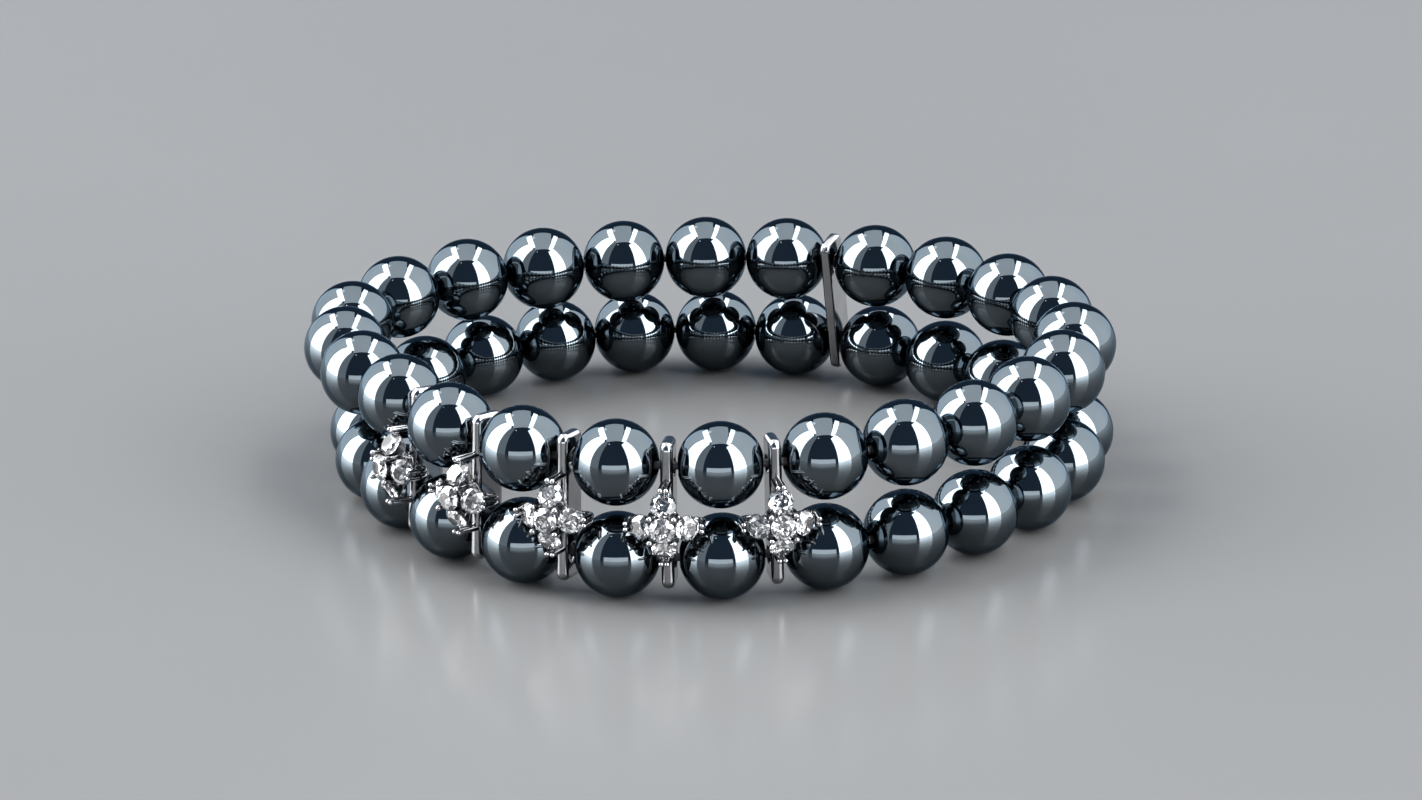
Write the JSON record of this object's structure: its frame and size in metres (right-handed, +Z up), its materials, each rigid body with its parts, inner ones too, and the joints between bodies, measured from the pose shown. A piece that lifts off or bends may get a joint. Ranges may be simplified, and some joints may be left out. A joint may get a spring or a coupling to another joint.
{
  "type": "beaded bracelet",
  "caption": "Two-row stretch bracelet of round mirror-polished dark beads, held apart by two-hole bars that carry clear-stone flowers at the front.",
  "frame": {"origin": "on the surface that the bracelet lies on, under the middle of its bounding box", "axes": "+Z up, from the lower row to the upper row; -Y towards the side with the middle flower, whose opposite side has the plain bar; +X to the right when looking at the flowers, along the loop's longest extent"},
  "size_m": [0.0784, 0.0716, 0.0169],
  "materials": {
    "dark_bead": "mirror-polished dark steel-grey stone with a metallic lustre",
    "silver_metal": "polished silver-coloured plating",
    "clear_stone": "faceted clear crystal",
    "elastic_thread": "dark elastic cord, slightly fibrous"
  },
  "bodies": {
    "root": {"upper_bead_01": "dark_bead", "upper_bead_02": "dark_bead", "upper_bead_03": "dark_bead", "upper_bead_04": "dark_bead", "upper_bead_05": "dark_bead", "upper_bead_06": "dark_bead", "upper_bead_07": "dark_bead", "upper_bead_08": "dark_bead", "upper_bead_09": "dark_bead", "upper_bead_10": "dark_bead", "upper_bead_11": "dark_bead", "upper_bead_12": "dark_bead", "upper_bead_13": "dark_bead", "upper_bead_14": "dark_bead", "upper_bead_15": "dark_bead", "upper_bead_16": "dark_bead", "upper_bead_17": "dark_bead", "upper_bead_18": "dark_bead", "upper_bead_19": "dark_bead", "upper_bead_20": "dark_bead", "upper_bead_21": "dark_bead", "upper_bead_22": "dark_bead", "upper_bead_23": "dark_bead", "upper_bead_24": "dark_bead", "lower_bead_01": "dark_bead", "lower_bead_02": "dark_bead", "lower_bead_03": "dark_bead", "lower_bead_04": "dark_bead", "lower_bead_05": "dark_bead", "lower_bead_06": "dark_bead", "lower_bead_07": "dark_bead", "lower_bead_08": "dark_bead", "lower_bead_09": "dark_bead", "lower_bead_10": "dark_bead", "lower_bead_11": "dark_bead", "lower_bead_12": "dark_bead", "lower_bead_13": "dark_bead", "lower_bead_14": "dark_bead", "lower_bead_15": "dark_bead", "lower_bead_16": "dark_bead", "lower_bead_17": "dark_bead", "lower_bead_18": "dark_bead", "lower_bead_19": "dark_bead", "lower_bead_20": "dark_bead", "lower_bead_21": "dark_bead", "lower_bead_22": "dark_bead", "lower_bead_23": "dark_bead", "lower_bead_24": "dark_bead", "flower_bar_1": "silver_metal", "flower_bar_2": "silver_metal", "flower_bar_3": "silver_metal", "flower_bar_4": "silver_metal", "flower_bar_5": "silver_metal", "plain_bar": "silver_metal", "upper_thread": "elastic_thread", "lower_thread": "elastic_thread"}
  },
  "joints": []
}
